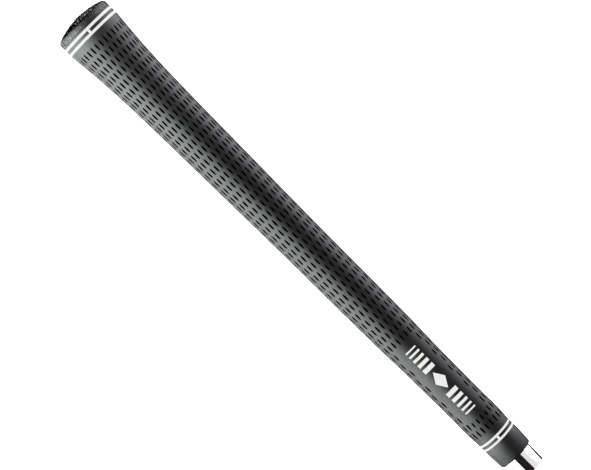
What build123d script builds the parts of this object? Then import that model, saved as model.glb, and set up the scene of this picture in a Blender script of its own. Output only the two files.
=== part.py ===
"""Golf grip fitted on the butt end of a steel golf shaft.

The origin is the centre of the shaft's free end. +Z runs along the axis to the butt cap, and the
marked top line of the grip faces -Y. Sizes are in millimetres.
"""

import os

from build123d import *

os.makedirs("parts", exist_ok=True)

# Lengths along the axis
bare_shaft = 9.4  # shaft left showing below the mouth
grip_length = 270.6  # mouth to the top of the crown, about 10 5/8 inches
mouth_z = bare_shaft
apex_z = bare_shaft + grip_length

# Shaft: the standard 0.600 inch butt, running down to 14.3 mm where it leaves the grip
shaft_butt_r = 7.62
shaft_free_r = 7.15
shaft_wall = 0.5
shaft_deburr = 0.12

# Double-sided tape under the rubber
tape = 0.2
tape_start_z = mouth_z + 1.0
tape_tuck = 9.0  # length pushed down inside the tube

# Butt cap
crown_height = 3.1  # rim to apex: a short wall with a dome on it
crown_wall = 0.6
crown_r = 13.1
crown_fillet = 0.6
rim_r = 13.65
rim_fillet = 0.35
side_band = 2.9
crown_rim_z = apex_z - crown_height
joint_z = crown_rim_z - side_band  # where the cap meets the sleeve
spigot_r = 10.5
spigot_length = 1.5
seat_z = joint_z - spigot_length  # the shaft butts against this face
vent_r = 1.6
shaft_top_z = seat_z - tape

# Painted rings and ticks, sunk in grooves
groove_depth = 0.35
paint_sink = 0.05  # how far the paint stays below the rubber
tick_width = 1.25
butt_band_r = 13.7
butt_band_low_z = joint_z - 5.2
butt_ring_height = 1.33
butt_ring_upper_z = joint_z - 0.4 - butt_ring_height
butt_ring_lower_z = butt_ring_upper_z - 2.7
collar_r = 8.84
collar_top_z = mouth_z + 14.6
mouth_ring_height = 1.1
mouth_ring_upper_z = mouth_z + 12.9
mouth_ring_lower_z = mouth_ring_upper_z - 2.35

# Mouth lip
lip_taper_z = mouth_z + 6.6
lip_r = 8.43
lip_fillet = 0.8

# Outer line of the rubber as heights above the mouth and radii
waist_line = [(14.6, 8.84), (22.1, 9.17), (28.6, 9.06), (46.6, 9.11), (62.6, 9.28), (72.6, 9.62)]
taper_line = [(72.6, 9.62), (90.6, 9.81), (132.6, 10.03), (184.6, 10.74), (226.6, 11.51), (242.6, 12.25)]
flare_top = (butt_band_r, butt_band_low_z)

# Raised marks on the plain panel: a lozenge between two runs of bars that get thinner outwards
marks_centre_z = mouth_z + 48.1
marks_width = 5.8
lozenge_length = 9.6
bar_thickness = [2.2, 1.8, 1.4, 1.1, 0.8]
bar_gap = 1.35
marks_raise = 0.2
marks_floor_low_r = 8.4  # floor of their recess, at the mouth end of the waist line
marks_floor_high_r = 9.1  # and at its butt end


def shaft_radius(z):
    """Outer radius of the tube at height z: parallel where it is bare, then an even taper."""
    share = max(0.0, (z - bare_shaft) / (shaft_top_z - bare_shaft))
    return shaft_free_r + share * (shaft_butt_r - shaft_free_r)


def on_profile(points, raised=0.0):
    """Heights above the mouth and radii, as points of a half section."""
    return [(radius + raised, mouth_z + height) for height, radius in points]


def band_section(low_z, height, floor_r, face_r):
    """The half section of a ring of paint, or of the groove that holds it."""
    with Locations(((floor_r + face_r) / 2, low_z + height / 2)):
        Rectangle(face_r - floor_r, height)


def tick_band(low_z, high_z, floor_r, face_r):
    """The short stretch of a ring band that lies within a tick's width of the top line."""
    with BuildPart() as stretch:
        with BuildSketch(Plane.XZ):
            band_section(low_z, high_z - low_z, floor_r, face_r)
        revolve(axis=Axis.Z)
        with BuildSketch(Plane.XZ):
            with Locations((0, (low_z + high_z) / 2)):
                Rectangle(tick_width, high_z - low_z)
        extrude(amount=2 * face_r, mode=Mode.INTERSECT)
    return stretch


def mark_shapes():
    """The outlines of the raised marks, drawn around the middle of the panel."""
    half_length = lozenge_length / 2
    half_width = marks_width / 2
    with Locations((0, marks_centre_z)):
        Polygon((0, -half_length), (half_width, 0), (0, half_length), (-half_width, 0))
    reach = half_length + bar_gap
    for thickness in bar_thickness:
        for side in (-1, 1):
            with Locations((0, marks_centre_z + side * (reach + thickness / 2))):
                Rectangle(marks_width, thickness)
        reach += thickness + bar_gap


def save(piece, name):
    piece.part.label = name
    export_step(piece.part, f"parts/{name}.step")


# Steel tube: cut square at its free end and deburred
with BuildPart() as shaft_butt:
    with BuildSketch(Plane.XZ):
        with BuildLine():
            Polyline(
                (shaft_free_r - shaft_wall, 0),
                (shaft_free_r, 0),
                (shaft_free_r, bare_shaft),
                (shaft_butt_r, shaft_top_z),
                (shaft_butt_r - shaft_wall, shaft_top_z),
                (shaft_free_r - shaft_wall, bare_shaft),
                close=True,
            )
        make_face()
    revolve(axis=Axis.Z)
    chamfer(shaft_butt.edges().group_by(Axis.Z)[0], shaft_deburr)
save(shaft_butt, "shaft_butt")

# Tape: one layer round the tube, folded over its rim and pushed down inside
tuck_z = shaft_top_z - tape_tuck
with BuildPart() as grip_tape:
    with BuildSketch(Plane.XZ):
        with BuildLine():
            Polyline(
                (shaft_radius(tape_start_z), tape_start_z),
                (shaft_radius(tape_start_z) + tape, tape_start_z),
                (shaft_butt_r + tape, shaft_top_z),
                (shaft_butt_r + tape, seat_z),
                (shaft_butt_r - shaft_wall - tape, seat_z),
                (shaft_radius(tuck_z) - shaft_wall - tape, tuck_z),
                (shaft_radius(tuck_z) - shaft_wall, tuck_z),
                (shaft_butt_r - shaft_wall, shaft_top_z),
                (shaft_butt_r, shaft_top_z),
                close=True,
            )
        make_face()
    revolve(axis=Axis.Z)
save(grip_tape, "grip_tape")

# Raised marks, each moulded up through the panel and painted on top
with BuildPart() as panel_marks:
    with BuildSketch(Plane.XZ):
        with BuildLine():
            Spline(*on_profile(waist_line, marks_raise))
            Polyline(
                (waist_line[-1][1] + marks_raise, mouth_z + waist_line[-1][0]),
                (marks_floor_high_r, mouth_z + waist_line[-1][0]),
                (marks_floor_low_r, mouth_z + waist_line[0][0]),
                (waist_line[0][1] + marks_raise, mouth_z + waist_line[0][0]),
            )
        make_face()
    revolve(axis=Axis.Z)
    with BuildSketch(Plane.XZ):
        mark_shapes()
    extrude(amount=2 * collar_r, mode=Mode.INTERSECT)
save(panel_marks, "panel_marks")

# Painted ticks on the top line, each joining its two rings, and the grooves that hold them
butt_tick_z = (butt_ring_lower_z + butt_ring_height, butt_ring_upper_z)
mouth_tick_z = (mouth_ring_lower_z + mouth_ring_height, mouth_ring_upper_z)
butt_index_groove = tick_band(*butt_tick_z, butt_band_r - groove_depth, butt_band_r + 1)
butt_index_tick = tick_band(*butt_tick_z, butt_band_r - groove_depth, butt_band_r - paint_sink)
save(butt_index_tick, "butt_index_tick")
mouth_index_groove = tick_band(*mouth_tick_z, collar_r - groove_depth, collar_r + 1)
mouth_index_tick = tick_band(*mouth_tick_z, collar_r - groove_depth, collar_r - paint_sink)
save(mouth_index_tick, "mouth_index_tick")

# Rubber sleeve: tapered outside, with its bore closed on the taped shaft
with BuildPart() as grip_sleeve:
    with BuildSketch(Plane.XZ):
        with BuildLine():
            Polyline(
                (lip_r, mouth_z),
                (shaft_free_r, mouth_z),
                (shaft_radius(tape_start_z), tape_start_z),
                (shaft_radius(tape_start_z) + tape, tape_start_z),
                (shaft_butt_r + tape, shaft_top_z),
                (shaft_butt_r + tape, seat_z),
                (spigot_r, seat_z),
                (spigot_r, joint_z),
                (butt_band_r, joint_z),
                (butt_band_r, butt_band_low_z),
            )
            Spline(*on_profile(taper_line), flare_top)
            Spline(*on_profile(waist_line))
            Polyline((collar_r, collar_top_z), (collar_r, lip_taper_z), (lip_r, mouth_z))
        make_face()
    revolve(axis=Axis.Z)
    lip_edge = grip_sleeve.edges().group_by(Axis.Z)[0].sort_by(SortBy.RADIUS)[-1]
    fillet(lip_edge, lip_fillet)
    with BuildSketch(Plane.XZ):
        for ring_z in (butt_ring_lower_z, butt_ring_upper_z):
            band_section(ring_z, butt_ring_height, butt_band_r - groove_depth, butt_band_r + 1)
        for ring_z in (mouth_ring_lower_z, mouth_ring_upper_z):
            band_section(ring_z, mouth_ring_height, collar_r - groove_depth, collar_r + 1)
    revolve(axis=Axis.Z, mode=Mode.SUBTRACT)
    for groove in (butt_index_groove, mouth_index_groove, panel_marks):
        add(groove.part, mode=Mode.SUBTRACT)
save(grip_sleeve, "grip_sleeve")

# Painted rings: four bands of paint in their grooves
painted_rings = {
    "butt_ring_upper": (butt_ring_upper_z, butt_ring_height, butt_band_r),
    "butt_ring_lower": (butt_ring_lower_z, butt_ring_height, butt_band_r),
    "mouth_ring_upper": (mouth_ring_upper_z, mouth_ring_height, collar_r),
    "mouth_ring_lower": (mouth_ring_lower_z, mouth_ring_height, collar_r),
}
for name, (low_z, height, band_r) in painted_rings.items():
    with BuildPart() as painted_ring:
        with BuildSketch(Plane.XZ):
            band_section(low_z, height, band_r - groove_depth, band_r - paint_sink)
        revolve(axis=Axis.Z)
    save(painted_ring, name)

# Butt cap: a domed crown on a narrow side band, with a spigot that sits in the sleeve
with BuildPart() as end_cap:
    with BuildSketch(Plane.XZ) as cap_section:
        with BuildLine():
            Polyline(
                (0, apex_z),
                (0, seat_z),
                (spigot_r, seat_z),
                (spigot_r, joint_z),
                (butt_band_r, joint_z),
                (rim_r, crown_rim_z),
                (crown_r, crown_rim_z),
                (crown_r, crown_rim_z + crown_wall),
            )
            dome_height = crown_height - crown_wall
            dome_sphere_r = (crown_r**2 + dome_height**2) / (2 * dome_height)
            RadiusArc((crown_r, crown_rim_z + crown_wall), (0, apex_z), -dome_sphere_r)
        make_face()
        corners = cap_section.vertices()
        rim_corner = corners.sort_by_distance((rim_r, crown_rim_z))[0]
        wall_corner = corners.sort_by_distance((crown_r, crown_rim_z + crown_wall))[0]
        fillet(wall_corner, crown_fillet)
        fillet(rim_corner, rim_fillet)
    revolve(axis=Axis.Z)
    with Locations((0, 0, apex_z)):
        Hole(vent_r)
save(end_cap, "end_cap")
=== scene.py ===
"""Golf grip on the butt end of a steel shaft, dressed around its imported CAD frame.

+Z runs along the axis from the shaft's free end to the butt cap, and the marked top line faces -Y.
Lengths are in metres, as in the frame.
"""

import math

import bmesh
import bpy
import numpy as np
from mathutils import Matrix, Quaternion, Vector


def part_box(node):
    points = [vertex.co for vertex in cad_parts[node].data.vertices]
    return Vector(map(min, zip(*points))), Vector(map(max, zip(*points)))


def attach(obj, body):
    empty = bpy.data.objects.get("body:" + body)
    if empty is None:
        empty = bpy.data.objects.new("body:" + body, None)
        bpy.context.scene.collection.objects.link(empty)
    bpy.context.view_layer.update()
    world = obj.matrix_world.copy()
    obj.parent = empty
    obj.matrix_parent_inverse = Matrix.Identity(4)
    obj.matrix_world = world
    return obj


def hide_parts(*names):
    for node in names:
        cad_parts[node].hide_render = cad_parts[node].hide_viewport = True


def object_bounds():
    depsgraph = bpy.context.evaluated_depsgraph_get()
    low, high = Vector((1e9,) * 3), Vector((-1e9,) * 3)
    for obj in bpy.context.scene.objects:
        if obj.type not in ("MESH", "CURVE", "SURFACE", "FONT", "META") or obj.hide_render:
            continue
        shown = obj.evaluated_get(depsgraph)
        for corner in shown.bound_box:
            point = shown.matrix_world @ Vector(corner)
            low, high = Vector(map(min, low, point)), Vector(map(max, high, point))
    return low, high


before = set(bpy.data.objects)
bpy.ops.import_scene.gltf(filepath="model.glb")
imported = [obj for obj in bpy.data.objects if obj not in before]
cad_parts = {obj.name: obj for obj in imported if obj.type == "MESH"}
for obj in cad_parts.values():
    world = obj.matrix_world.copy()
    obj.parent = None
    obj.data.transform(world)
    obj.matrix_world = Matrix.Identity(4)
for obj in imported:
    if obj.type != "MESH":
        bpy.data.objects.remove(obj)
cad_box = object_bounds()

# ---------------------------------------------------------------------------------------------
# Camera
# A long lens a little over a metre away, level with the thick end of the grip and looking down
# the taper, rolled so that the grip lies from corner to corner.
# ---------------------------------------------------------------------------------------------
mm = 0.001
camera_distance = 1155 * mm
camera_height = 221 * mm
camera_turn = math.radians(1.5)
camera_roll = math.radians(-45.16)
aim_point = Vector((0, 0, 146.3 * mm))
lens_length = 161.6

camera_data = bpy.data.cameras.new("studio_camera")
camera_data.sensor_width = 36
camera_data.lens = lens_length
camera_data.clip_start = 0.05
camera_data.clip_end = 20
camera = bpy.data.objects.new("studio_camera", camera_data)
bpy.context.collection.objects.link(camera)
camera.location = (
    camera_distance * math.sin(camera_turn),
    -camera_distance * math.cos(camera_turn),
    camera_height,
)
look = aim_point - camera.location
camera.rotation_mode = "QUATERNION"
camera.rotation_quaternion = look.to_track_quat("-Z", "Y") @ Quaternion((0, 0, 1), camera_roll)
bpy.context.scene.camera = camera
bpy.context.scene.view_settings.view_transform = "Standard"
bpy.context.scene.view_settings.look = "High Contrast"

# ---------------------------------------------------------------------------------------------
# Studio: a white floor that only the camera sees, even light that the gloss doesn't mirror, and
# lights that are only mirrored: tall softboxes on both sides with dimmer cards below them, split
# by a gap on the left, and a small one over the cap. Towards the camera there is only a very
# faint card, which draws the dark band down the middle.
# ---------------------------------------------------------------------------------------------
floor_height = cad_box[0].z - 900 * mm  # low enough to look up at the mouth
floor_half = 6.0
floor_mesh = bpy.data.meshes.new("floor")
floor_mesh.from_pydata(
    [(x, y, floor_height) for x in (-floor_half, floor_half) for y in (-floor_half, floor_half)],
    [],
    [(0, 2, 3, 1)],
)
floor = bpy.data.objects.new("floor", floor_mesh)
bpy.context.collection.objects.link(floor)
floor_material = bpy.data.materials.new("white_floor")
floor_material.use_nodes = True
floor_shader = floor_material.node_tree.nodes["Principled BSDF"]
floor_shader.inputs["Base Color"].default_value = (0.9, 0.9, 0.9, 1)
floor_shader.inputs["Roughness"].default_value = 0.9
floor_shader.inputs["Emission Color"].default_value = (1, 1, 1, 1)
floor_shader.inputs["Emission Strength"].default_value = 1.0
floor_mesh.materials.append(floor_material)
floor.visible_diffuse = False
floor.visible_glossy = False
floor.visible_shadow = False

world = bpy.data.worlds.new("studio")
bpy.context.scene.world = world
world.use_nodes = True
world_tree = world.node_tree
backdrop = world_tree.nodes["Background"]
backdrop.inputs["Color"].default_value = (1, 1, 1, 1)
backdrop.inputs["Strength"].default_value = 1.0
fill = world_tree.nodes.new("ShaderNodeBackground")
fill.inputs["Color"].default_value = (1, 1, 0.99, 1)
fill.inputs["Strength"].default_value = 0.7
seen = world_tree.nodes.new("ShaderNodeLightPath")
choose = world_tree.nodes.new("ShaderNodeMixShader")
world_tree.links.new(seen.outputs["Is Camera Ray"], choose.inputs[0])
world_tree.links.new(fill.outputs[0], choose.inputs[1])
world_tree.links.new(backdrop.outputs[0], choose.inputs[2])
world_tree.links.new(choose.outputs[0], world_tree.nodes["World Output"].inputs[0])
world.cycles_visibility.glossy = False


def softbox(name, place, facing, width, height, radiance, colour):
    """A rectangular light at a place, turned to face along a direction."""
    light = bpy.data.lights.new(name, "AREA")
    light.shape = "RECTANGLE"
    light.size = width
    light.size_y = height
    light.energy = radiance * math.pi * width * height
    light.color = colour
    box = bpy.data.objects.new(name, light)
    box.location = place
    box.rotation_mode = "QUATERNION"
    box.rotation_quaternion = Vector(facing).to_track_quat("-Z", "Y")
    box.visible_camera = False
    box.visible_diffuse = False
    bpy.context.collection.objects.link(box)


light_distance = 0.6
low_edge = -0.15
high_edge = 0.9
card_foot = -0.8
green_white = (0.96, 1.0, 0.99)
lilac_white = (0.975, 0.955, 1.0)
# Name, side of the grip, stretch along y, lower and upper edge, radiance
for name, side, near_y, far_y, low, high, radiance in (
    ("softbox_left", -1, -2.6, 0.2, low_edge, high_edge, 4.6),
    ("softbox_left_back", -1, 0.29, 1.3, low_edge, high_edge, 2.1),
    ("softbox_right", 1, -0.3, 0.7, low_edge, high_edge, 2.3),
    ("card_left", -1, -1.0, 0.2, card_foot, low_edge, 0.9),
    ("card_left_back", -1, 0.32, 1.2, card_foot, low_edge, 0.5),
    ("card_right", 1, -1.38, 0.52, card_foot, low_edge + 0.05, 0.65),
):
    middle = (side * light_distance, (near_y + far_y) / 2, (low + high) / 2)
    tint = green_white if side < 0 else lilac_white
    softbox(name, middle, (-side, 0, 0), far_y - near_y, high - low, radiance, tint)
softbox("cap_light", place=(0.06, 0.62, 0.95), facing=(-0.06, -0.62, -0.67),
        width=0.16, height=0.12, radiance=12.0, colour=(1.0, 0.98, 0.94))
softbox("card_front", place=(0, -1.7, 0.1), facing=(0, 1, 0),
        width=1.3, height=1.6, radiance=0.03, colour=(1.0, 0.9, 0.84))

# ---------------------------------------------------------------------------------------------
# Rubber sleeve
# One moulding of black rubber, ground matt, with some fifty rows of short slits that keep the
# mould's blacker skin, darkened further as painted shade, a plain panel near the mouth and a groove
# for each painted ring.
# ---------------------------------------------------------------------------------------------
mouth_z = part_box("grip_sleeve")[0].z
joint_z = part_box("grip_sleeve")[1].z
butt_band_r = 13.7 * mm
collar_r = 8.84 * mm
lip_r = 8.43 * mm
lip_taper = 6.6 * mm
shaft_free_r = 7.15 * mm
tape_start = 1.0 * mm
tape_thickness = 0.2 * mm
bore_butt_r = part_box("grip_tape")[1].x
seat_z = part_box("grip_tape")[1].z
spigot_r = 10.5 * mm
paint_depth = 0.35 * mm
# Outer line of the rubber: height above the mouth and radius, in millimetres
waist_line = [(14.6, 8.84), (22.1, 9.17), (28.6, 9.06), (46.6, 9.11), (62.6, 9.28), (72.6, 9.62)]
taper_line = [(72.6, 9.62), (90.6, 9.81), (132.6, 10.03), (184.6, 10.74), (226.6, 11.51), (242.6, 12.25)]
butt_band_height = 5.2  # millimetres, where the rubber is parallel
taper_line.append(((joint_z - mouth_z) / mm - butt_band_height, butt_band_r / mm))
level_step = 3.0  # millimetres between the rings of the mesh


def smooth_line(points):
    """The natural cubic spline through the points, as a function of height."""
    heights, radii = np.array(points).T
    gaps = np.diff(heights)
    count = len(heights)
    system = np.eye(count)
    right = np.zeros(count)
    for i in range(1, count - 1):
        system[i, i - 1 : i + 2] = gaps[i - 1], 2 * (gaps[i - 1] + gaps[i]), gaps[i]
        rise_after = (radii[i + 1] - radii[i]) / gaps[i]
        rise_before = (radii[i] - radii[i - 1]) / gaps[i - 1]
        right[i] = 6 * (rise_after - rise_before)
    bend = np.linalg.solve(system, right)

    def radius(height):
        i = int(np.clip(np.searchsorted(heights, height) - 1, 0, count - 2))
        ahead = heights[i + 1] - height
        behind = height - heights[i]
        curved = (bend[i] * ahead**3 + bend[i + 1] * behind**3) / (6 * gaps[i])
        start = (radii[i] / gaps[i] - bend[i] * gaps[i] / 6) * ahead
        end = (radii[i + 1] / gaps[i] - bend[i + 1] * gaps[i] / 6) * behind
        return curved + start + end

    return radius


waist_radius = smooth_line(waist_line)
taper_radius = smooth_line(taper_line)


def rubber_radius(z):
    """Outer radius of the plain rubber at height z in the frame."""
    height = (z - mouth_z) / mm
    if height <= waist_line[0][0]:
        return collar_r
    if height <= waist_line[-1][0]:
        return waist_radius(height) * mm
    return min(taper_radius(min(height, taper_line[-1][0])) * mm, butt_band_r)


def soften(section, rounding=0.05 * mm, steps=3):
    """Rounds the corners of a closed section. A point may carry a rounding of its own."""
    slight_turn = math.radians(12)  # stays as it is
    share_of_side = 0.45  # leaves room for a rounding at each end
    outline = []
    count = len(section)
    for i, corner in enumerate(section):
        here = np.array(corner[:2])
        before = np.array(section[i - 1][:2]) - here
        after = np.array(section[(i + 1) % count][:2]) - here
        lengths = np.linalg.norm(before), np.linalg.norm(after)
        cosine = float(before @ after) / (lengths[0] * lengths[1])
        turn = math.pi - math.acos(max(-1.0, min(1.0, cosine)))
        if turn < slight_turn:
            outline.append(tuple(here))
            continue
        wanted = corner[2] if len(corner) > 2 else rounding
        reach = min(wanted * math.tan(turn / 2), share_of_side * min(lengths))
        start = here + before / lengths[0] * reach
        end = here + after / lengths[1] * reach
        for step in range(steps + 1):
            t = step / steps
            outline.append(tuple((1 - t) ** 2 * start + 2 * t * (1 - t) * here + t**2 * end))
    return outline


def closed_mesh(name, points, faces):
    """A mesh of a closed shape, with its faces turned outward."""
    mesh = bpy.data.meshes.new(name)
    mesh.from_pydata(points, [], faces)
    work = bmesh.new()
    work.from_mesh(mesh)
    bmesh.ops.recalc_face_normals(work, faces=work.faces)
    work.to_mesh(mesh)
    work.free()
    return mesh


def lathe(name, section, turns):
    """Spins a closed section of (radius, height) points round the axis into a closed mesh."""
    angles = np.arange(turns) * 2 * math.pi / turns
    points = [
        (r * math.sin(angle), -r * math.cos(angle), z) for angle in angles for r, z in section
    ]
    count = len(section)
    faces = []
    for turn in range(turns):
        near = turn * count
        far = (turn + 1) % turns * count
        for i in range(count):
            j = (i + 1) % count
            faces.append((near + i, far + i, far + j, near + j))
    return closed_mesh(name, points, faces)


def add_piece(name, mesh, sharp_angle=35):
    """Puts a finished mesh in the scene, smooth but for its true edges."""
    mesh.name = name
    mesh.shade_smooth()
    mesh.set_sharp_from_angle(angle=math.radians(sharp_angle))
    piece = bpy.data.objects.new(name, mesh)
    bpy.context.collection.objects.link(piece)
    return piece


def groove(low_z, height, band_r):
    """The four corners of a groove in a band, from its lower edge up."""
    floor_r = band_r - paint_depth
    return [(band_r, low_z), (floor_r, low_z), (floor_r, low_z + height), (band_r, low_z + height)]


mouth_rings = [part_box("mouth_ring_lower"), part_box("mouth_ring_upper")]
butt_rings = [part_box("butt_ring_lower"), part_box("butt_ring_upper")]
inner_lip_rounding = 0.3 * mm
outer_lip_rounding = 0.8 * mm
sleeve_section = [(shaft_free_r, mouth_z, inner_lip_rounding), (lip_r, mouth_z, outer_lip_rounding)]
sleeve_section.append((collar_r, mouth_z + lip_taper))
for low, high in mouth_rings:
    sleeve_section += groove(low.z, high.z - low.z, collar_r)
heights = np.arange(waist_line[0][0], taper_line[-1][0], level_step)
sleeve_section += [(rubber_radius(mouth_z + h * mm), mouth_z + h * mm) for h in heights]
sleeve_section.append((butt_band_r, mouth_z + taper_line[-1][0] * mm))
for low, high in butt_rings:
    sleeve_section += groove(low.z, high.z - low.z, butt_band_r)
sleeve_section += [(butt_band_r, joint_z), (spigot_r, joint_z), (spigot_r, seat_z)]
sleeve_section += [(bore_butt_r, seat_z), (shaft_free_r + tape_thickness, mouth_z + tape_start)]
sleeve_section.append((shaft_free_r, mouth_z + tape_start))
sleeve_turns = 192
sleeve_blank = lathe("sleeve_blank", soften(sleeve_section), sleeve_turns)


# One slit as the solid that cuts it: a long oval with a broken edge at the surface, a little draft
slit_length = 3.65 * mm
slit_width = 0.87 * mm
slit_depth = 0.9 * mm
slit_edge = 0.05 * mm
slit_draft = 0.06 * mm
cutter_overlap = 0.4 * mm
slit_sides = 12
slit_levels = [  # height over the rubber, growth of the outline
    (cutter_overlap, slit_edge),
    (0.0, slit_edge),
    (-slit_edge, 0.0),
    (-slit_depth, -slit_draft),
]
slit_points = []
for level, growth in slit_levels:
    for i in range(slit_sides):
        angle = 2 * math.pi * i / slit_sides
        across_slit = (slit_width / 2 + growth) * math.cos(angle)
        along_slit = (slit_length / 2 + growth) * math.sin(angle)
        slit_points.append((across_slit, along_slit, level))
last_point = len(slit_points) - 1
slit_faces = [tuple(range(slit_sides)), tuple(range(last_point, last_point - slit_sides, -1))]
for level in range(len(slit_levels) - 1):
    for i in range(slit_sides):
        j = (i + 1) % slit_sides
        near = level * slit_sides
        far = near + slit_sides
        slit_faces.append((near + i, far + i, far + j, near + j))
slit_mesh = closed_mesh("slit", slit_points, slit_faces)
slit_cutter = bpy.data.objects.new("slit_cutter", slit_mesh)
bpy.context.collection.objects.link(slit_cutter)

# The short grooves of the two ticks, cut with the slits
tick_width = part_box("butt_index_tick")[1].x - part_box("butt_index_tick")[0].x
tick_overlap = 0.1 * mm  # past the tick's ends, into the grooves of its rings
tick_block_depth = 2 * mm
tick_work = bmesh.new()
for tick, band_r in (("butt_index_tick", butt_band_r), ("mouth_index_tick", collar_r)):
    low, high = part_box(tick)
    size = Vector((tick_width, tick_block_depth, high.z - low.z + 2 * tick_overlap))
    middle = Vector((0, -(band_r - paint_depth + size.y / 2), (low.z + high.z) / 2))
    block = bmesh.ops.create_cube(tick_work, size=1)
    for corner in block["verts"]:
        corner.co = Vector(c * s for c, s in zip(corner.co, size)) + middle
tick_mesh = bpy.data.meshes.new("tick_grooves")
tick_work.to_mesh(tick_mesh)
tick_work.free()
tick_cutter = bpy.data.objects.new("tick_cutter", tick_mesh)
bpy.context.collection.objects.link(tick_cutter)


def place_node(tree, kind, sockets=None, **settings):
    """Adds a node, sets its properties, and sets or links its inputs by name or number."""
    node = tree.nodes.new(kind)
    for key, value in settings.items():
        setattr(node, key, value)
    for key, value in (sockets or {}).items():
        socket = node.inputs[key]
        if isinstance(value, bpy.types.NodeSocket):
            tree.links.new(value, socket)
        else:
            socket.default_value = value
    return node


def reckon(tree, operation, *values):
    """A Math node on numbers or sockets, giving back its result."""
    node = place_node(tree, "ShaderNodeMath", dict(enumerate(values)), operation=operation)
    return node.outputs[0]


def new_tree(name, inputs):
    """An empty geometry tree with named inputs of the given socket types."""
    tree = bpy.data.node_groups.new(name, "GeometryNodeTree")
    tree.interface.new_socket("Geometry", in_out="INPUT", socket_type="NodeSocketGeometry")
    for label, kind in inputs.items():
        tree.interface.new_socket(label, in_out="INPUT", socket_type=kind)
    tree.interface.new_socket("Geometry", in_out="OUTPUT", socket_type="NodeSocketGeometry")
    return tree


def run_tree(name, mesh, tree, values):
    """Runs a geometry tree on a mesh and gives back the result as a plain mesh."""
    carrier = bpy.data.objects.new(name, mesh)
    bpy.context.collection.objects.link(carrier)
    modifier = carrier.modifiers.new(tree.name, "NODES")
    modifier.node_group = tree
    for socket in tree.interface.items_tree:
        if socket.in_out == "INPUT" and socket.name in values:
            modifier[socket.identifier] = values[socket.name]
    graph = bpy.context.evaluated_depsgraph_get()
    result = bpy.data.meshes.new_from_object(carrier.evaluated_get(graph))
    carrier.modifiers.clear()
    bpy.data.objects.remove(carrier)
    return result


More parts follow.
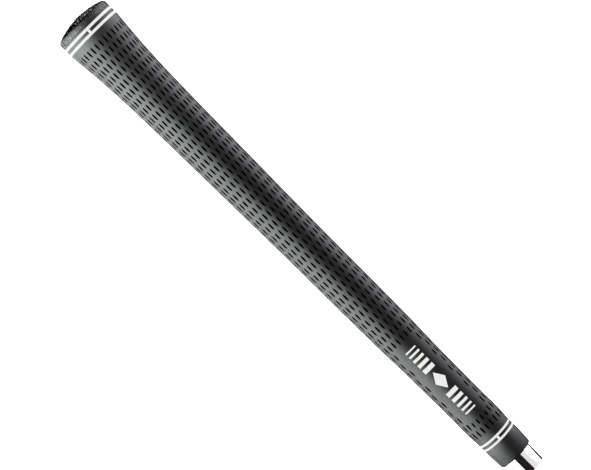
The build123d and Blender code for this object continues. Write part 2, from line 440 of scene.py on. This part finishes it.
def slit_tree():
    """Cuts staggered rows of slits into the rubber, fewer round the grip where it is thinner."""
    tree = new_tree("cut_slits", {
        "Slit": "NodeSocketObject",
        "Ticks": "NodeSocketObject",
        "Rows": "NodeSocketInt",
        "Top row": "NodeSocketFloat",
        "Row spacing": "NodeSocketFloat",
        "Row drift": "NodeSocketFloat",
        "Angle between slits": "NodeSocketFloat",
        "Angle added per row": "NodeSocketFloat",
        "First panel row": "NodeSocketFloat",
        "Last panel row": "NodeSocketFloat",
        "Panel half angle": "NodeSocketFloat",
        "Rubber": "NodeSocketMaterial",
        "Slit skin and painted shade": "NodeSocketMaterial",
    })
    given = tree.nodes.new("NodeGroupInput").outputs
    across = 17  # slits tried on each half of a row
    per_row = 2 * across
    even_row = 33.0  # the row between the ends that the drift leaves in its even place
    panel_edge = 0.2  # radians at the panel's sides where the slits below it keep their length
    cut_share = 0.27  # of the length of the slits under the panel
    cut_shift = 0.45 * mm
    ray_reach = 0.02  # well outside the rubber
    parting_share = 0.35  # of the angle between slits, kept plain beside a parting line
    ground_depth = 0.06 * mm
    count = reckon(tree, "MULTIPLY", given["Rows"], per_row)
    points = place_node(tree, "GeometryNodeMeshLine", {"Count": count}).outputs["Mesh"]
    index = tree.nodes.new("GeometryNodeInputIndex").outputs[0]
    row = reckon(tree, "FLOOR", reckon(tree, "DIVIDE", index, per_row))
    place = reckon(tree, "SUBTRACT", index, reckon(tree, "MULTIPLY", row, per_row))
    back = reckon(tree, "FLOOR", reckon(tree, "DIVIDE", place, across))
    column = reckon(tree, "SUBTRACT", reckon(tree, "SUBTRACT", place, across // 2),
                    reckon(tree, "MULTIPLY", back, across))
    stagger = reckon(tree, "MULTIPLY", reckon(tree, "MODULO", row, 2.0), 0.5)
    pitch = reckon(tree, "MULTIPLY_ADD", row,
                   given["Angle added per row"], given["Angle between slits"])
    angle = reckon(tree, "MULTIPLY", reckon(tree, "ADD", column, stagger), pitch)
    off_line = reckon(tree, "ABSOLUTE", angle)

    # out to a ray that finds the rubber from outside
    side = reckon(tree, "SINE", angle)
    outward = reckon(tree, "COSINE", angle)
    depth = reckon(tree, "MULTIPLY", outward, reckon(tree, "MULTIPLY_ADD", back, 2.0, -1.0))

    # rows stand a little high towards the butt and a little low towards the mouth
    to_even = reckon(tree, "SUBTRACT", even_row, row)
    to_end = reckon(tree, "SUBTRACT", given["Rows"], row)
    bow = reckon(tree, "MULTIPLY", reckon(tree, "MULTIPLY", row, to_even), to_end)
    drifted = reckon(tree, "MULTIPLY_ADD", bow, given["Row drift"], given["Top row"])
    even = reckon(tree, "SUBTRACT", drifted, reckon(tree, "MULTIPLY", row, given["Row spacing"]))

    # the slits under the panel are cut short at their upper end
    row_below = reckon(tree, "ADD", given["Last panel row"], 1.0)
    under_panel = reckon(tree, "COMPARE", row, row_below, 0.5)
    within = reckon(tree, "SUBTRACT", given["Panel half angle"], panel_edge)
    in_front = reckon(tree, "LESS_THAN", off_line, within)
    short = reckon(tree, "MULTIPLY", under_panel, in_front)
    height = reckon(tree, "MULTIPLY_ADD", short, -cut_shift, even)
    length = reckon(tree, "MULTIPLY_ADD", short, -cut_share, 1.0)
    stretch = place_node(tree, "ShaderNodeCombineXYZ", {"X": 1.0, "Y": length, "Z": 1.0}).outputs[0]
    radial = place_node(tree, "ShaderNodeCombineXYZ", {"X": side, "Y": depth}).outputs[0]
    level = place_node(tree, "ShaderNodeCombineXYZ", {"Z": height}).outputs[0]
    ray_start = place_node(tree, "ShaderNodeVectorMath",
                           {0: radial, 1: (ray_reach,) * 3, 2: level}, operation="MULTIPLY_ADD")
    inward = place_node(tree, "ShaderNodeVectorMath", {0: radial, "Scale": -1.0}, operation="SCALE")
    hit = place_node(tree, "GeometryNodeRaycast", {
        "Target Geometry": given["Geometry"], "Source Position": ray_start.outputs[0],
        "Ray Direction": inward.outputs[0], "Ray Length": ray_reach})

    # the slit lies along the slope of the rubber
    slope = place_node(tree, "ShaderNodeSeparateXYZ", {0: hit.outputs["Hit Normal"]}).outputs["Z"]
    upward = place_node(tree, "ShaderNodeCombineXYZ", {"Z": slope}).outputs[0]
    steepness = reckon(tree, "MULTIPLY", slope, slope)
    level_part = reckon(tree, "SQRT", reckon(tree, "SUBTRACT", 1.0, steepness))
    level_normal = place_node(tree, "ShaderNodeVectorMath",
                              {0: radial, "Scale": level_part}, operation="SCALE")
    normal = place_node(tree, "ShaderNodeVectorMath",
                        {0: level_normal.outputs[0], 1: upward}, operation="ADD")
    turned = place_node(tree, "FunctionNodeAxesToRotation",
                        {"Primary Axis": normal.outputs[0], "Secondary Axis": (0, 0, 1)},
                        primary_axis="Z", secondary_axis="Y")
    moved = place_node(tree, "GeometryNodeSetPosition",
                       {"Geometry": points, "Position": hit.outputs["Hit Position"]})

    # left out: past the mould's parting lines, and on the plain panel
    last_angle = reckon(tree, "SUBTRACT", math.pi / 2, reckon(tree, "MULTIPLY", pitch, parting_share))
    past = reckon(tree, "GREATER_THAN", off_line, last_angle)
    below = reckon(tree, "GREATER_THAN", row, reckon(tree, "SUBTRACT", given["First panel row"], 0.5))
    above = reckon(tree, "LESS_THAN", row, reckon(tree, "ADD", given["Last panel row"], 0.5))
    near = reckon(tree, "LESS_THAN", off_line, given["Panel half angle"])
    front = reckon(tree, "LESS_THAN", back, 0.5)
    panel_rows = reckon(tree, "MULTIPLY", below, above)
    panel = reckon(tree, "MULTIPLY", panel_rows, reckon(tree, "MULTIPLY", near, front))
    left_out = reckon(tree, "MAXIMUM", past, panel)
    keep = reckon(tree, "LESS_THAN", left_out, 0.5)
    slit = place_node(tree, "GeometryNodeObjectInfo", {"Object": given["Slit"]}).outputs["Geometry"]
    slits = place_node(tree, "GeometryNodeInstanceOnPoints", {
        "Points": moved.outputs[0], "Selection": keep, "Instance": slit, "Rotation": turned.outputs[0],
        "Scale": stretch})
    solid_slits = place_node(tree, "GeometryNodeRealizeInstances", {0: slits.outputs[0]}).outputs[0]
    ticks = place_node(tree, "GeometryNodeObjectInfo", {"Object": given["Ticks"]}).outputs["Geometry"]
    cutters = tree.nodes.new("GeometryNodeJoinGeometry")
    tree.links.new(solid_slits, cutters.inputs[0])
    tree.links.new(ticks, cutters.inputs[0])
    cut = place_node(tree, "GeometryNodeMeshBoolean",
                     {"Mesh 1": given["Geometry"], "Mesh 2": cutters.outputs[0]},
                     operation="DIFFERENCE", solver="MANIFOLD")
    whole = place_node(tree, "GeometryNodeRealizeInstances", {0: cut.outputs["Mesh"]}).outputs[0]
    ground = place_node(tree, "GeometryNodeSetMaterial",
                        {"Geometry": whole, "Material": given["Rubber"]}).outputs[0]
    # the walls and floors of the slits take the slit skin, which is partly painted shade
    under = place_node(tree, "GeometryNodeProximity", {0: given["Geometry"]}, target_element="FACES")
    sunk = reckon(tree, "GREATER_THAN", under.outputs["Distance"], ground_depth)
    finished = place_node(tree, "GeometryNodeSetMaterial",
                          {"Geometry": ground, "Selection": sunk, "Material": given["Slit skin and painted shade"]})
    tree.links.new(finished.outputs[0], tree.nodes.new("NodeGroupOutput").inputs[0])
    return tree


def new_material(name):
    """A material with its tree, its shader and the object's coordinates in millimetres."""
    material = bpy.data.materials.new(name)
    material.use_nodes = True
    tree = material.node_tree
    place = place_node(tree, "ShaderNodeTexCoord")
    scaled = place_node(tree, "ShaderNodeMapping",
                        {"Vector": place.outputs["Object"], "Scale": (1 / mm,) * 3})
    return material, tree, tree.nodes["Principled BSDF"], scaled.outputs[0]


def noise(tree, place, scale, detail, roughness=0.5):
    """The value of a noise texture, with scale grains to a unit of the coordinates."""
    node = place_node(tree, "ShaderNodeTexNoise", {
        "Vector": place, "Scale": scale, "Detail": detail, "Roughness": roughness})
    return node.outputs[0]


def drawn_round(tree, place, around, along):
    """Coordinates for marks that run round the grip: stretched round it, squeezed along it."""
    node = place_node(tree, "ShaderNodeMapping", {"Vector": place, "Scale": (around, around, along)})
    return node.outputs[0]


def ranged(tree, value, low, high, start=0.0, end=1.0, interpolation="LINEAR"):
    """The value's stretch from start to end, mapped to low to high."""
    node = place_node(tree, "ShaderNodeMapRange", {
        "Value": value, "From Min": start, "From Max": end, "To Min": low, "To Max": high},
        interpolation_type=interpolation)
    return node.outputs[0]


def mixed(tree, factor, first, second):
    """The colour that a factor from 0 to 1 takes between two colours or sockets."""
    node = place_node(tree, "ShaderNodeMix",
                      {"Factor": factor, "A": first, "B": second}, data_type="RGBA")
    return node.outputs["Result"]


def bumped(tree, shader, height, strength, distance):
    """Gives the shader a fine relief, with its distance in metres."""
    bump = place_node(tree, "ShaderNodeBump",
                      {"Height": height, "Strength": strength, "Distance": distance})
    tree.links.new(bump.outputs[0], shader.inputs["Normal"])


def ground_rubber():
    """Black rubber ground on a belt: matt, faintly streaked round the grip and a little dusty, its colour
    painted lighter towards the butt as painted light."""
    material, tree, shader, place = new_material("ground_rubber")
    grain = noise(tree, place, scale=3.2, detail=3.0)
    streaks = noise(tree, drawn_round(tree, place, around=0.25, along=6.0), scale=1.0, detail=3.0)
    specks = noise(tree, place, scale=2.4, detail=4.0, roughness=0.7)
    dust = ranged(tree, specks, low=0.0, high=1.0, start=0.38, end=0.68)
    tone = mixed(tree, dust, (0.004, 0.004, 0.0042, 1), (0.014, 0.0142, 0.0145, 1))
    # painted light: the colour lightens from 175 mm up to 245 mm, standing in for the light that falls
    # more on the butt end
    height = place_node(tree, "ShaderNodeSeparateXYZ", {0: place}).outputs["Z"]
    painted_light_share = ranged(tree, height, low=0.0, high=1.0, start=175.0, end=245.0,
                   interpolation="SMOOTHSTEP")
    tone_with_painted_light = mixed(tree, painted_light_share, tone, (0.033, 0.0335, 0.033, 1))
    tree.links.new(tone_with_painted_light, shader.inputs["Base Color"])
    shader.inputs["Specular IOR Level"].default_value = 0.8
    worn = reckon(tree, "ADD", streaks, specks)
    rough = ranged(tree, worn, low=0.4, high=0.58, start=0.5, end=1.5)
    tree.links.new(rough, shader.inputs["Roughness"])
    relief = reckon(tree, "MULTIPLY_ADD", streaks, 0.6, grain)
    bumped(tree, shader, relief, strength=0.5, distance=0.08 * mm)
    return material


def slit_skin_and_painted_shade():
    """The blacker skin that the mould leaves in the slits, which the belt doesn't reach, coloured near
    black with very little gloss as painted shade in the recesses.
    """
    material, tree, shader, place = new_material("moulded_slit_painted_shade")
    shade = noise(tree, place, scale=2.0, detail=2.0)
    tree.links.new(ranged(tree, shade, low=0.4, high=0.55), shader.inputs["Roughness"])
    # painted shade: near black colour and very low specular stand in for the shade inside the slits
    shader.inputs["Base Color"].default_value = (0.0015, 0.0015, 0.0015, 1)
    shader.inputs["Specular IOR Level"].default_value = 0.08
    return material


rubber_material = ground_rubber()
slit_skin_and_shade_material = slit_skin_and_painted_shade()
for blank in (sleeve_blank, slit_mesh, tick_mesh):
    blank.materials.append(rubber_material)
sleeve_mesh = run_tree("sleeve_blank", sleeve_blank, slit_tree(), {
    "Slit": slit_cutter,
    "Ticks": tick_cutter,
    "Rows": 49,
    "Top row": joint_z - 9.63 * mm,
    "Row spacing": 4.91 * mm,
    "Row drift": 7.5e-5 * mm,
    "Angle between slits": math.radians(10.75),
    "Angle added per row": math.radians(0.125),
    "First panel row": 38.0,
    "Last panel row": 46.0,
    "Panel half angle": math.radians(45),
    "Rubber": rubber_material,
    "Slit skin and painted shade": slit_skin_and_shade_material,
})
for cutter in (slit_cutter, tick_cutter):
    bpy.data.objects.remove(cutter)
sleeve = add_piece("sleeve", sleeve_mesh)


def stands_for(piece, node):
    """The piece rides on the part's one body in place of a CAD node."""
    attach(piece, "root")
    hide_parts(node)


stands_for(sleeve, "grip_sleeve")

# ---------------------------------------------------------------------------------------------
# Butt cap
# A second rubber moulding that the sleeve is moulded against: a low dome with a coarse pebbled
# skin straight from the mould, a ground band round its side, and a vent hole through the middle.
# ---------------------------------------------------------------------------------------------
cap_seat_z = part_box("end_cap")[0].z
rim_r = 13.65 * mm
crown_r = 13.1 * mm
crown_wall = 0.6 * mm
dome_height = 2.5 * mm
side_band = 2.9 * mm
crown_rim_z = joint_z + side_band
vent_r = 1.6 * mm
dome_sphere_r = (crown_r**2 + dome_height**2) / (2 * dome_height)
band_relief = 0.13 * mm
lower_lip = 0.35 * mm  # height of the full-width edge that the relieved band stands on
band_low = 0.5 * mm  # the relieved band's lower end, above the joint
upper_lip = 0.45 * mm
band_high = 0.6 * mm  # its upper end, below the rim
rim_rounding = 0.35 * mm
crease_rounding = 0.08 * mm
crown_rounding = 0.6 * mm
crown_shoulder = 1.2 * mm  # from the crown's wall to where the dome's own points start
vent_shoulder = 0.4 * mm
vent_rounding = 0.2 * mm
dome_points = 40
band_middle = 1.4 * mm
just_above = 0.01 * mm
crown_step = 0.21 * mm  # between the rings of the crown's mesh
crown_turns = 320


def dome_z(r):
    """Height of the smooth dome at radius r."""
    return crown_rim_z + crown_wall + dome_height - dome_sphere_r + math.sqrt(dome_sphere_r**2 - r**2)


def refine(outline, longest, above):
    """Splits the segments of a closed outline that lie above a height and are too long."""
    finer = []
    for i, point in enumerate(outline):
        following = outline[(i + 1) % len(outline)]
        length = math.dist(point, following)
        parts = max(1, math.ceil(length / longest)) if min(point[1], following[1]) > above else 1
        for part in range(parts):
            share = part / parts
            finer.append(tuple(a + (b - a) * share for a, b in zip(point, following)))
    return finer


cap_section = [(vent_r, cap_seat_z), (spigot_r, cap_seat_z), (spigot_r, joint_z), (butt_band_r, joint_z)]
cap_section.append((butt_band_r, joint_z + lower_lip))
cap_section.append((butt_band_r - band_relief, joint_z + band_low))
cap_section.append((rim_r - band_relief, crown_rim_z - band_high))
cap_section.append((rim_r, crown_rim_z - upper_lip))
cap_section.append((rim_r, crown_rim_z, rim_rounding))
cap_section.append((crown_r, crown_rim_z, crease_rounding))
cap_section.append((crown_r, crown_rim_z + crown_wall, crown_rounding))
dome_radii = np.linspace(crown_r - crown_shoulder, vent_r + vent_shoulder, dome_points)
cap_section += [(r, dome_z(r)) for r in dome_radii]
cap_section.append((vent_r, dome_z(vent_r), vent_rounding))
cap_outline = refine(soften(cap_section, steps=6), crown_step, crown_rim_z + just_above)
cap_blank = lathe("cap_blank", cap_outline, crown_turns)

# A small embossed lozenge: a raised outline round a sunk middle, with its root inside the band
lozenge_half_width = 0.85 * mm
lozenge_half_height = 0.95 * mm
lozenge_levels = [  # share of the full size, height over the band
    (1.0, -0.2 * mm),
    (1.0, 0.0),
    (0.92, band_relief),
    (0.62, band_relief),
    (0.52, 0.02 * mm),
]
lozenge_points = []
for share, level in lozenge_levels:
    lozenge_points += [(lozenge_half_width * share, 0, level), (0, lozenge_half_height * share, level)]
    lozenge_points += [(-lozenge_half_width * share, 0, level), (0, -lozenge_half_height * share, level)]
last_level = 4 * (len(lozenge_levels) - 1)
lozenge_faces = [(3, 2, 1, 0), tuple(range(last_level, last_level + 4))]
for level in range(len(lozenge_levels) - 1):
    for i in range(4):
        near = 4 * level
        lozenge_faces.append((near + i, near + (i + 1) % 4, near + 4 + (i + 1) % 4, near + 4 + i))
lozenge_mesh = bpy.data.meshes.new("embossed_lozenge")
lozenge_mesh.from_pydata(lozenge_points, [], lozenge_faces)
cap_blank.materials.append(rubber_material)
lozenge = bpy.data.objects.new("embossed_lozenge", lozenge_mesh)
bpy.context.collection.objects.link(lozenge)


def lozenge_painted_highlight_rubber():
    """The lozenges' skin: shiny, and coloured a lighter grey than the band as a painted highlight."""
    material, tree, shader, place = new_material("lozenge_painted_highlight")
    highlight_and_gloss_mottle = noise(tree, place, scale=1.5, detail=3.0)
    # painted highlight: the lozenges are coloured lighter than the band round them, so that they read as
    # catching light
    tone = mixed(tree, highlight_and_gloss_mottle, (0.025, 0.0255, 0.025, 1), (0.09, 0.092, 0.09, 1))
    tree.links.new(tone, shader.inputs["Base Color"])
    tree.links.new(ranged(tree, highlight_and_gloss_mottle, low=0.38, high=0.5), shader.inputs["Roughness"])
    shader.inputs["Specular IOR Level"].default_value = 1.0
    shader.inputs["IOR"].default_value = 1.55
    return material


lozenge_mesh.materials.append(lozenge_painted_highlight_rubber())


def pebbled_rubber():
    """The crown's own skin: blacker and glossier than the ground rubber."""
    material, tree, shader, place = new_material("pebbled_crown")
    grain = noise(tree, place, scale=4.0, detail=3.0)
    tree.links.new(ranged(tree, grain, low=0.12, high=0.28), shader.inputs["Roughness"])
    shader.inputs["Base Color"].default_value = (0.004, 0.004, 0.0042, 1)
    shader.inputs["Specular IOR Level"].default_value = 0.25
    bumped(tree, shader, grain, strength=0.5, distance=0.1 * mm)
    return material


def crown_tree():
    """Sinks a net of creases into the crown, so that pebbles stand between them, and sets
    embossed lozenges round the side band."""
    tree = new_tree("cap_relief", {
        "Pebble size": "NodeSocketFloat",
        "Crease depth": "NodeSocketFloat",
        "Crown radius": "NodeSocketFloat",
        "Crown rim": "NodeSocketFloat",
        "Vent radius": "NodeSocketFloat",
        "Lozenge": "NodeSocketObject",
        "Lozenges": "NodeSocketInt",
        "Band radius": "NodeSocketFloat",
        "Band middle": "NodeSocketFloat",
        "Skin": "NodeSocketMaterial",
    })
    given = tree.nodes.new("NodeGroupInput").outputs
    place = tree.nodes.new("GeometryNodeInputPosition").outputs[0]
    parts = place_node(tree, "ShaderNodeSeparateXYZ", {0: place}).outputs
    flat = place_node(tree, "ShaderNodeCombineXYZ", {"X": parts["X"], "Y": parts["Y"]}).outputs[0]
    off_axis = place_node(tree, "ShaderNodeVectorMath", {0: flat}, operation="LENGTH").outputs["Value"]

    # the net: edges of cells, swayed so that no two pebbles are alike
    sways_per_metre = 500.0
    sway_length = 0.9 * mm
    bulge = place_node(tree, "ShaderNodeTexNoise",
                       {"Vector": place, "Scale": sways_per_metre, "Detail": 1.0}).outputs["Color"]
    sway = place_node(tree, "ShaderNodeVectorMath",
                      {0: bulge, 1: (sway_length,) * 3, 2: place}, operation="MULTIPLY_ADD")
    cells = place_node(tree, "ShaderNodeTexVoronoi", {
        "Vector": sway.outputs[0], "Scale": reckon(tree, "DIVIDE", 1.0, given["Pebble size"])},
        feature="DISTANCE_TO_EDGE")
    crease = ranged(tree, cells.outputs["Distance"], low=1.0, high=0.0, start=0.02, end=0.4,
                    interpolation="SMOOTHSTEP")

    # no creases at the crown's foot or round the vent
    above_rim = reckon(tree, "SUBTRACT", parts["Z"], given["Crown rim"])
    low_fade = ranged(tree, above_rim, low=0.0, high=1.0, end=0.3 * mm)
    off_vent = reckon(tree, "SUBTRACT", off_axis, given["Vent radius"])
    vent_fade = ranged(tree, off_vent, low=0.0, high=1.0, start=0.3 * mm, end=1.0 * mm)
    sink = reckon(tree, "MULTIPLY", reckon(tree, "MULTIPLY", crease, given["Crease depth"]),
                  reckon(tree, "MULTIPLY", low_fade, vent_fade))
    outward = tree.nodes.new("GeometryNodeInputNormal").outputs[0]
    inward = place_node(tree, "ShaderNodeVectorMath", {
        0: outward, "Scale": reckon(tree, "MULTIPLY", sink, -1.0)}, operation="SCALE").outputs[0]
    on_crown = reckon(tree, "GREATER_THAN", above_rim, 0.0)
    inside = reckon(tree, "LESS_THAN", off_axis, reckon(tree, "ADD", given["Crown radius"], 0.02 * mm))
    crown = reckon(tree, "MULTIPLY", on_crown, inside)
    pebbled = place_node(tree, "GeometryNodeSetPosition",
                         {"Geometry": given["Geometry"], "Selection": crown, "Offset": inward}).outputs[0]

    # the lozenges, on a circle round the middle of the band
    circle = place_node(tree, "GeometryNodeMeshCircle", {
        "Vertices": given["Lozenges"], "Radius": given["Band radius"]}).outputs[0]
    lift = place_node(tree, "ShaderNodeCombineXYZ", {"Z": given["Band middle"]}).outputs[0]
    lifted = place_node(tree, "GeometryNodeSetPosition", {"Geometry": circle, "Offset": lift}).outputs[0]
    face_out = place_node(tree, "FunctionNodeAxesToRotation",
                          {"Primary Axis": flat, "Secondary Axis": (0, 0, 1)},
                          primary_axis="Z", secondary_axis="Y").outputs[0]
    one = place_node(tree, "GeometryNodeObjectInfo", {"Object": given["Lozenge"]}).outputs["Geometry"]
    lozenges = place_node(tree, "GeometryNodeInstanceOnPoints", {
        "Points": lifted, "Instance": one, "Rotation": face_out}).outputs[0]
    whole = tree.nodes.new("GeometryNodeJoinGeometry")
    tree.links.new(lozenges, whole.inputs[0])
    tree.links.new(pebbled, whole.inputs[0])
    solid = place_node(tree, "GeometryNodeRealizeInstances", {0: whole.outputs[0]}).outputs[0]
    finished = place_node(tree, "GeometryNodeSetMaterial", {
        "Geometry": solid, "Selection": crown, "Material": given["Skin"]})
    tree.links.new(finished.outputs[0], tree.nodes.new("NodeGroupOutput").inputs[0])
    return tree


cap_mesh = run_tree("cap_blank", cap_blank, crown_tree(), {
    "Pebble size": 1.7 * mm,
    "Crease depth": 0.22 * mm,
    "Crown radius": crown_r,
    "Crown rim": crown_rim_z,
    "Vent radius": vent_r,
    "Lozenge": lozenge,
    "Lozenges": 26,
    "Band radius": (butt_band_r + rim_r) / 2 - band_relief,
    "Band middle": joint_z + band_middle,
    "Skin": pebbled_rubber(),
})
bpy.data.objects.remove(lozenge)
cap = add_piece("cap", cap_mesh, sharp_angle=50)
stands_for(cap, "end_cap")

# ---------------------------------------------------------------------------------------------
# Painted rings and ticks
# White rubber paint run into the grooves and wiped off a hair below the rubber, so that each
# face is slightly hollow.
# ---------------------------------------------------------------------------------------------
ring_turns = 256
paint_hollow = 0.03 * mm
paint_rounding = 0.04 * mm


def white_paint():
    """White paint on rubber: satin, with a trace of the grinding dust in it."""
    material, tree, shader, place = new_material("satin_rubber_paint")
    dust = noise(tree, place, scale=1.5, detail=4.0)
    tone = mixed(tree, dust, (0.82, 0.825, 0.82, 1), (0.9, 0.9, 0.895, 1))
    tree.links.new(tone, shader.inputs["Base Color"])
    shader.inputs["Specular IOR Level"].default_value = 0.12
    tree.links.new(ranged(tree, dust, low=0.42, high=0.6), shader.inputs["Roughness"])
    bumped(tree, shader, dust, strength=0.2, distance=0.04 * mm)
    return material


paint_material = white_paint()
for node in ("butt_ring_upper", "butt_ring_lower", "mouth_ring_upper", "mouth_ring_lower"):
    low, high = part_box(node)
    face_r = high.x
    band_r = butt_band_r if node.startswith("butt") else collar_r
    floor_r = band_r - paint_depth
    middle = (low.z + high.z) / 2
    ring_section = [(floor_r, low.z), (face_r, low.z), (face_r - paint_hollow, middle), (face_r, high.z)]
    ring_section.append((floor_r, high.z))
    ring_mesh = lathe(node + "_paint", soften(ring_section, paint_rounding), ring_turns)
    ring_mesh.materials.append(paint_material)
    stands_for(add_piece(node + "_paint", ring_mesh), node)
for node in ("butt_index_tick", "mouth_index_tick"):
    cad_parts[node].data.materials.clear()
    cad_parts[node].data.materials.append(paint_material)

# ---------------------------------------------------------------------------------------------
# Panel marks
# A lozenge between two runs of bars, moulded up through the plain panel by a fifth of a
# millimetre and painted on top, with the paint rounded over their edges.
# ---------------------------------------------------------------------------------------------
marks_raise = 0.2 * mm
marks_root = 0.3 * mm
marks_half_width = (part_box("panel_marks")[1].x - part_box("panel_marks")[0].x) / 2
marks_middle = (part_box("panel_marks")[0].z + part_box("panel_marks")[1].z) / 2
lozenge_half_length = 4.8 * mm
bar_heights = [2.2 * mm, 1.8 * mm, 1.4 * mm, 1.1 * mm, 0.8 * mm]  # from the lozenge outwards
bar_gap = 1.35 * mm
edge_drops = [(0.0, 0.11 * mm), (0.04 * mm, 0.035 * mm), (0.1 * mm, 0.0)]  # in from the edge, down
mark_rulings = 13


def painted_mark(place, half_height):
    """A mark as a closed pad: place maps a square's coordinates to x and z on the panel."""
    rulers = []
    for half in (marks_half_width, half_height):
        near_edge = [-1 + inset / half for inset, drop in edge_drops]
        middle = list(np.linspace(near_edge[-1], -near_edge[-1], mark_rulings))[1:-1]
        rulers.append(near_edge + middle + [-share for share in reversed(near_edge)])
    drops = [drop for inset, drop in edge_drops]
    points = []
    for top in (True, False):
        for i, u in enumerate(rulers[0]):
            for j, v in enumerate(rulers[1]):
                x, z = place(u, v)
                inset = min(i, j, len(rulers[0]) - 1 - i, len(rulers[1]) - 1 - j)
                drop = drops[inset] if inset < len(drops) else 0.0
                level = marks_raise - drop if top else -marks_root
                radius = rubber_radius(z) + level
                points.append((x, -math.sqrt(radius**2 - x**2), z))
    wide = len(rulers[0])
    tall = len(rulers[1])
    under = wide * tall
    faces = []
    for i in range(wide - 1):
        for j in range(tall - 1):
            a = i * tall + j
            face = (a, a + tall, a + tall + 1, a + 1)
            faces.append(face)
            faces.append(tuple(under + corner for corner in reversed(face)))
    border = [i * tall for i in range(wide)]
    border += [(wide - 1) * tall + j for j in range(1, tall)]
    border += [i * tall + tall - 1 for i in range(wide - 2, -1, -1)]
    border += list(range(tall - 2, 0, -1))
    for here, following in zip(border, border[1:] + border[:1]):
        faces.append((here, under + here, under + following, following))
    return points, faces


def bar_place(middle, half_height):
    """Places a square's coordinates on a bar across the panel."""
    return lambda u, v: (u * marks_half_width, middle + v * half_height)


def lozenge_place(u, v):
    """Places a square's coordinates on the lozenge, corner upwards."""
    return (u + v) / 2 * marks_half_width, marks_middle + (v - u) / 2 * lozenge_half_length


marks = [painted_mark(lozenge_place, lozenge_half_length)]
reach = lozenge_half_length + bar_gap
for bar_height in bar_heights:
    for side in (-1, 1):
        middle = marks_middle + side * (reach + bar_height / 2)
        marks.append(painted_mark(bar_place(middle, bar_height / 2), bar_height / 2))
    reach += bar_height + bar_gap
mark_points = []
mark_faces = []
for points, faces in marks:
    first = len(mark_points)
    mark_points += points
    mark_faces += [tuple(first + corner for corner in face) for face in faces]
marks_mesh = closed_mesh("painted_marks", mark_points, mark_faces)
marks_mesh.materials.append(paint_material)
stands_for(add_piece("painted_marks", marks_mesh, sharp_angle=70), "panel_marks")

# ---------------------------------------------------------------------------------------------
# Grip tape
# One layer of creped paper tape between rubber and tube, folded over the tube's rim. Only its
# tucked-in end can be seen, from inside the tube. The CAD node is kept, with a paper look.
# ---------------------------------------------------------------------------------------------


def creped_paper():
    """Buff masking paper with fine creases across the tape, painted darker in their valleys as painted
    shade.
    """
    material, tree, shader, place = new_material("creped_paper")
    creases = noise(tree, drawn_round(tree, place, around=0.6, along=5.0), scale=1.0, detail=3.0)
    # painted shade: the colour follows the crease relief, darker where it is low
    tone = mixed(tree, creases, (0.5, 0.44, 0.3, 1), (0.66, 0.6, 0.44, 1))
    tree.links.new(tone, shader.inputs["Base Color"])
    shader.inputs["Roughness"].default_value = 0.85
    bumped(tree, shader, creases, strength=0.6, distance=0.1 * mm)
    return material


tape_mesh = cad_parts["grip_tape"].data
tape_mesh.materials.clear()
tape_mesh.materials.append(creped_paper())

# ---------------------------------------------------------------------------------------------
# Shaft
# The butt end of a chromed steel tube, straight where it shows and tapering under the grip, its
# cut rim rounded by deburring. It stands for the whole shaft.
# ---------------------------------------------------------------------------------------------
shaft_top_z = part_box("shaft_butt")[1].z
shaft_foot_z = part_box("shaft_butt")[0].z
shaft_butt_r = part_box("shaft_butt")[1].x
shaft_wall = 0.5 * mm
deburr_rounding = 0.12 * mm
shaft_turns = 256


def polished_chrome():
    """Bright chrome, faintly drawn round the tube by the polishing wheel."""
    material, tree, shader, place = new_material("polished_chrome")
    lines = noise(tree, drawn_round(tree, place, around=0.3, along=9.0), scale=1.0, detail=4.0)
    smears = noise(tree, place, scale=0.35, detail=3.0)
    tree.links.new(ranged(tree, smears, low=0.04, high=0.11), shader.inputs["Roughness"])
    shader.inputs["Metallic"].default_value = 1.0
    shader.inputs["Base Color"].default_value = (0.9, 0.9, 0.89, 1)
    bumped(tree, shader, lines, strength=0.15, distance=0.02 * mm)
    return material


shaft_section = [
    (shaft_free_r - shaft_wall, shaft_foot_z, deburr_rounding),
    (shaft_free_r, shaft_foot_z, deburr_rounding),
    (shaft_free_r, mouth_z),
    (shaft_butt_r, shaft_top_z),
    (shaft_butt_r - shaft_wall, shaft_top_z),
    (shaft_free_r - shaft_wall, mouth_z),
]
shaft_mesh = lathe("tube", soften(shaft_section, rounding=0.03 * mm, steps=5), shaft_turns)
shaft_mesh.materials.append(polished_chrome())
stands_for(add_piece("tube", shaft_mesh), "shaft_butt")
